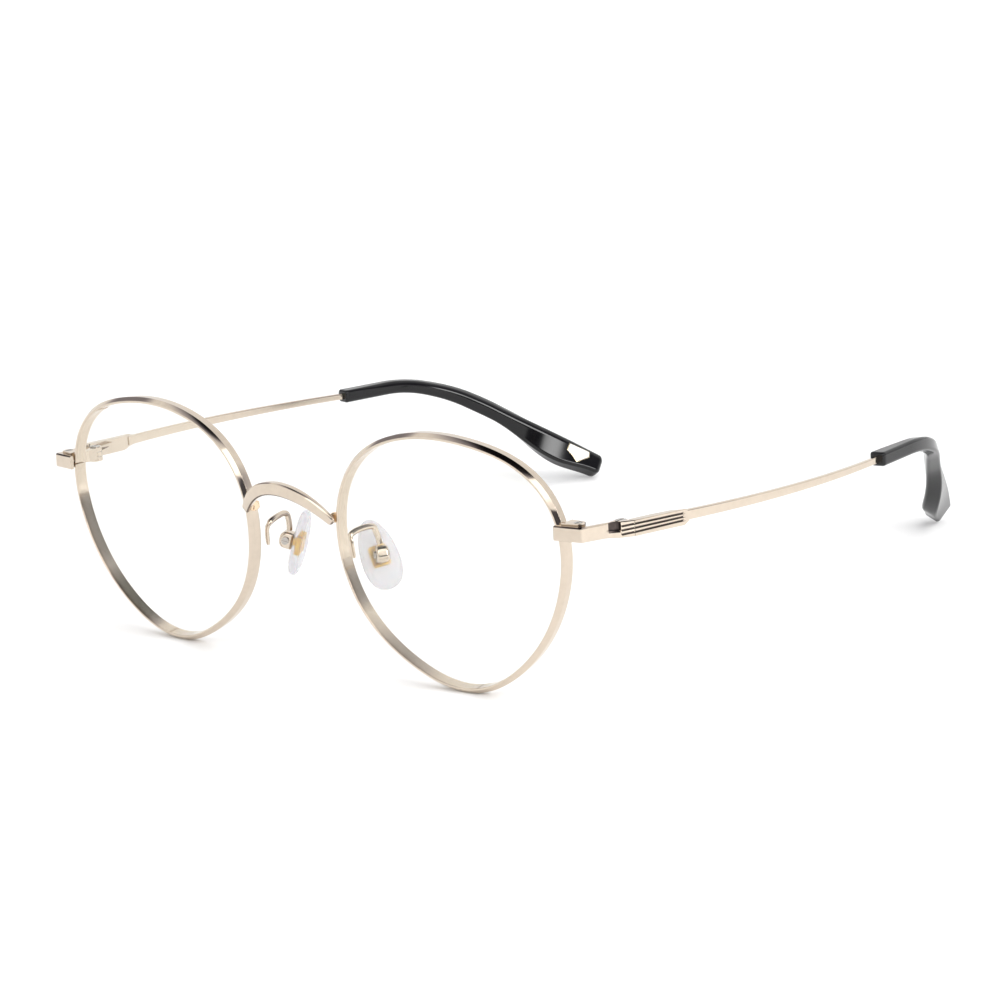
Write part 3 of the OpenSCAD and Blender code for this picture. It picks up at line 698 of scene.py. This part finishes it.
def box_skin():
    """The pad box: two cheeks with rounded rims, and a C-shaped middle round the tongue's slot."""
    hx, hy, hz = (v / 2 for v in BOX)
    outline = rounded([(-hx, -hz), (hx, -hz), (hx, hz), (-hx, hz)], [0.15, 1.2, 1.2, 0.15], 12)
    cheek_y, soft, slot = 0.65, 0.49, 1.1

    def shell(y, k):
        """The box outline at y, drawn in by k."""
        return [PAD_M @ (BOX_AT + Vector((x * (1 - k / hx), y, z * (1 - k / hz)))) for x, z in outline]

    def cheek(side):
        """One cheek, from its inner face to its outer face."""
        turns = [math.radians(15 * k) for k in range(7)]
        outer = [shell(side * (hy - soft * (1 - math.sin(q))), soft * (1 - math.cos(q))) for q in turns]
        return loft([shell(side * cheek_y, 0)] + outer)

    c_ring = outline + [(-hx, slot), (0.95, slot), (0.95, -slot), (-hx, -slot)]
    middle = [[PAD_M @ (BOX_AT + Vector((x, y, z))) for x, z in c_ring] for y in (-cheek_y, cheek_y)]
    return joined(cheek(1), cheek(-1), loft(middle))


def arm_point(t):
    """Point of the arm's centre line: a smooth curve through the points of its route."""
    n = len(ARM_ROUTE) - 1
    i = min(int(t * n), n - 1)
    u = t * n - i
    p0, p1, p2, p3 = ARM_ROUTE[max(i - 1, 0)], ARM_ROUTE[i], ARM_ROUTE[i + 1], ARM_ROUTE[min(i + 2, n)]
    return 0.5 * (2 * p1 + (p2 - p0) * u + (2 * p0 - 5 * p1 + 4 * p2 - p3) * u * u
                  + (3 * p1 - p0 - 3 * p2 + p3) * u ** 3)


def arm_skin():
    """The bent wire from the rim, where it is flattened, to the pad box."""
    count, points, step = 110, 20, 0.004
    rings = []
    for k in range(count + 1):
        t = k / count
        d = (arm_point(min(t + step, 1)) - arm_point(max(t - step, 0))).normalized()
        lat = d.cross(Vector((1, 0.2, 0.1))).normalized()
        up = lat.cross(d)
        flat = smooth_lookup(t * 40, [(8, 0.6), (12, 1)])
        end = min(1.0, 0.72 + 0.28 * min(k, 3) / 3)
        rings.append([arm_point(t) + (lat * flat * math.cos(w) + up * math.sin(w)) * ARM_R * end
                      for w in (math.tau * q / points for q in range(points))])
    return loft(rings)


def build_pads():
    """Pads, inserts, boxes and arms."""
    pad, pad_faces = pad_skin()
    insert, insert_faces = insert_skin()
    box, box_faces = box_skin()
    arm, arm_faces = arm_skin()
    for side, word in SIDES:
        silicone = make_piece(f"pad_silicone_{word}", mirrored(pad, side), pad_faces, PAD, f"pad_{word}",
                              [f"nose_pad_{word}"], "pad_silicone", 60)
        make_piece(f"pad_plate_{word}", mirrored(insert, side), insert_faces, INSERT, f"pad_{word}",
                   [f"pad_insert_{word}"], "inlay_metal", 35)
        make_piece(f"pad_holder_{word}", mirrored(box, side), box_faces, GOLD, "front",
                   [f"pad_box_{word}"], "frame_metal", 32)
        make_piece(f"pad_wire_{word}", mirrored(arm, side), arm_faces, GOLD, "front",
                   [f"pad_arm_{word}"], "frame_metal", 50)


# ---------------------------------------------------------------- carried-over CAD nodes
CARRIED = {"closing_block_upper": GOLD, "closing_block_lower": GOLD, "hinge_front_leaf": GOLD,
           "hinge_temple_leaf": GOLD, "closing_screw": SCREW, "hinge_screw": SCREW,
           "hinge_washers": SCREW, "pad_screw": SCREW}


def paint(ob, material):
    """The same material in every slot of a CAD node."""
    slots = ob.data.materials
    if not slots:
        slots.append(material)
    for k in range(len(slots)):
        slots[k] = material


def soften(ob):
    """A small bevel on a CAD node's edges."""
    mod = ob.modifiers.new("edges", "BEVEL")
    mod.width = 0.08 * MM
    mod.segments = 2
    mod.limit_method = "ANGLE"
    mod.angle_limit = math.radians(40)


def carry_over():
    """Blocks, leaves, screws and washers stay as the CAD has them; the washers are too thin to bevel."""
    for base, material in CARRIED.items():
        for _, word in SIDES:
            ob = nodes[f"{base}_{word}"]
            paint(ob, material)
            if base != "hinge_washers":
                soften(ob)


build_rims()
build_bridge()
build_ends()
build_tips()
build_pads()
carry_over()


# ---------------------------------------------------------------- floor
def build_floor():
    """A floor at the height of the frame's lowest point."""
    half = 4.0
    z = cad_box[0][2]
    mesh = bpy.data.meshes.new("floor")
    mesh.from_pydata([(-half, -half, z), (half, -half, z), (half, half, z), (-half, half, z)], [],
                     [(0, 1, 2, 3)])
    mesh.materials.append(FLOOR)
    floor = bpy.data.objects.new("floor", mesh)
    scene.collection.objects.link(floor)


# ---------------------------------------------------------------- studio that the metal reflects
world = bpy.data.worlds.new("studio")
scene.world = world
world.use_nodes = True
sky = world.node_tree
sky_out = sky.nodes["Background"]
sky_at = sky.nodes.new("ShaderNodeTexCoord").outputs["Generated"]

# Strength of the walls by the sine of the elevation; below level it is as at level
BANDS = [(0.0, 0.95), (0.17, 1.02), (0.5, 1.08), (0.72, 1.04), (0.76, 0.88), (0.80, 0.62), (0.825, 0.44),
         (0.85, 0.30), (0.87, 0.16), (0.90, 0.06), (1.0, 0.05)]
# Darker patches: azimuth and elevation, core and edge angle, factor in the core
DIM = [((112, 24), 14, 30, 0.26), ((126, 56), 8, 20, 0.6), ((-88, 28), 8, 17, 0.3),
       ((60, 2), 24, 34, 0.10), ((10, 78), 21, 28, 0.10)]
# A small bright lamp, which draws the streak along the tips: the same, with its strength
LAMP = ((88, 20), 7, 13, 8.0)
BOX_LIGHT = 1.3                   # strength of the soft box


def heading(azimuth, elevation):
    """Unit vector; azimuth 0 looks out of the front, 90 to +X."""
    a, e = math.radians(azimuth), math.radians(elevation)
    return math.sin(a) * math.cos(e), -math.cos(a) * math.cos(e), math.sin(e)


def sky_math(op, first, second):
    """A math node on two outputs or numbers."""
    n = sky.nodes.new("ShaderNodeMath")
    n.operation = op
    for k, v in enumerate((first, second)):
        if isinstance(v, (int, float)):
            n.inputs[k].default_value = v
        else:
            sky.links.new(v, n.inputs[k])
    return n.outputs[0]


def sky_ramp(normal, start, stop, low, high):
    """A ramp from low to high while a direction's share along normal goes from start to stop."""
    dot = sky.nodes.new("ShaderNodeVectorMath")
    dot.operation = "DOT_PRODUCT"
    sky.links.new(sky_at, dot.inputs[0])
    dot.inputs[1].default_value = normal
    ramp = sky.nodes.new("ShaderNodeMapRange")
    ramp.inputs["From Min"].default_value = start
    ramp.inputs["From Max"].default_value = stop
    ramp.inputs["To Min"].default_value = low
    ramp.inputs["To Max"].default_value = high
    sky.links.new(dot.outputs["Value"], ramp.inputs["Value"])
    return ramp


def sky_patch(where, core, edge, low, high):
    """A round soft patch of the studio: low outside the edge angle, high inside the core angle."""
    ramp = sky_ramp(heading(*where), math.cos(math.radians(edge)), math.cos(math.radians(core)), low, high)
    ramp.interpolation_type = "SMOOTHSTEP"
    return ramp.outputs["Result"]


def sky_half(normal, start, stop):
    """A straight edge across the studio: 0 before start, 1 after stop."""
    return sky_ramp(normal, start, stop, 0.0, 1.0).outputs["Result"]


def sky_walls():
    """Strength of the pale walls, which fade into an unlit ceiling."""
    split = sky.nodes.new("ShaderNodeSeparateXYZ")
    sky.links.new(sky_at, split.inputs[0])
    bands = sky.nodes.new("ShaderNodeValToRGB")
    sky.links.new(split.outputs["Z"], bands.inputs["Fac"])
    ramp_points = bands.color_ramp.elements
    while len(ramp_points) < len(BANDS):
        ramp_points.new(0.5)
    for point, (z, v) in zip(ramp_points, BANDS):
        point.position = z
        point.color = (v, v, v, 1)
    return bands.outputs["Color"]


def sky_box():
    """A soft box to the right of the camera, bounded by four straight edges."""
    box = sky_half((0.68, 0.0, -1.0), -0.56, -0.52)
    box = sky_math("MULTIPLY", box, sky_half((0.0, 0.0, 1.0), 0.34, 0.38))
    box = sky_math("MULTIPLY", box, sky_half(heading(88, 0), 0.0, 0.06))
    box = sky_math("MULTIPLY", box, sky_half(heading(8, 0), 0.0, 0.06))
    return sky_math("MULTIPLY", box, BOX_LIGHT)


def build_studio():
    """The world: walls, dim patches, soft box and lamp; its darker parts are a little violet."""
    level = sky_walls()
    for where, core, edge, dim in DIM:
        level = sky_math("MULTIPLY", level, sky_patch(where, core, edge, 1.0, dim))
    level = sky_math("ADD", level, sky_box())
    where, core, edge, bright = LAMP
    level = sky_math("ADD", level, sky_patch(where, core, edge, 0.0, bright))
    sky.links.new(level, sky_out.inputs["Strength"])
    tone = sky.nodes.new("ShaderNodeValToRGB")
    tone.color_ramp.elements[0].color = (0.86, 0.83, 1.0, 1)
    tone.color_ramp.elements[1].color = (1.0, 1.0, 1.0, 1)
    sky.links.new(level, tone.inputs["Fac"])
    sky.links.new(tone.outputs["Color"], sky_out.inputs["Color"])


# ---------------------------------------------------------------- lights, which the metal does not mirror
def add_light(data, turn, where=(0, 0, 0)):
    """An object for a light, hidden from reflections."""
    ob = bpy.data.objects.new(data.name, data)
    scene.collection.objects.link(ob)
    ob.location = where
    ob.rotation_euler = turn
    ob.visible_glossy = False


def build_lights():
    """A wide soft sun from above and a small light beside the right temple."""
    sun = bpy.data.lights.new("soft_top_light", "SUN")
    sun.energy = 1.65
    sun.angle = math.radians(70)
    add_light(sun, Vector((0.5, 0.25, 0.83)).to_track_quat("Z", "Y").to_euler())
    lamp = bpy.data.lights.new("side_light", "AREA")
    lamp.shape = "RECTANGLE"
    lamp.size = lamp.size_y = 0.08
    lamp.energy = 0.18
    where, aim = (0.30, 0.03, 0.16), (0.17, 0.035, 0.0)
    add_light(lamp, (Vector(aim) - Vector(where)).to_track_quat("-Z", "Y").to_euler(), where)


# ---------------------------------------------------------------- camera
# Solved from the photo: how far it is turned, raised and rolled, in degrees
CAM_TURN, CAM_RISE, CAM_ROLL = (math.radians(v) for v in (44.62, 13.99, -5.49))
# where it stands across, above and along its line of sight from the origin, in mm
CAM_ACROSS, CAM_ABOVE, CAM_AWAY = 37.328, 26.524, 670.23
SENSOR = 36.0
FOCAL = 3.77094 * SENSOR


def build_camera():
    """The camera of the photo."""
    az, el, roll = CAM_TURN, CAM_RISE, CAM_ROLL
    right = Vector((math.cos(az), math.sin(az), 0))
    toward = Vector((math.sin(az) * math.cos(el), -math.cos(az) * math.cos(el), math.sin(el)))
    above = Vector((-math.sin(az) * math.sin(el), math.cos(az) * math.sin(el), math.cos(el)))
    where = CAM_ACROSS * right + CAM_ABOVE * above + CAM_AWAY * toward - Vector((0, BACK, 0))
    axis_x = math.cos(roll) * right + math.sin(roll) * above
    axis_y = math.cos(roll) * above - math.sin(roll) * right
    cam = bpy.data.cameras.new("camera")
    cam.sensor_width = SENSOR
    cam.lens = FOCAL
    cam.clip_start = 0.01
    camera = bpy.data.objects.new("camera", cam)
    scene.collection.objects.link(camera)
    turn = Matrix((axis_x, axis_y, toward)).transposed().to_4x4()
    camera.matrix_world = Matrix.Translation(where * MM) @ turn
    scene.camera = camera


build_floor()
build_studio()
build_lights()
build_camera()
scene.view_settings.view_transform = "Standard"
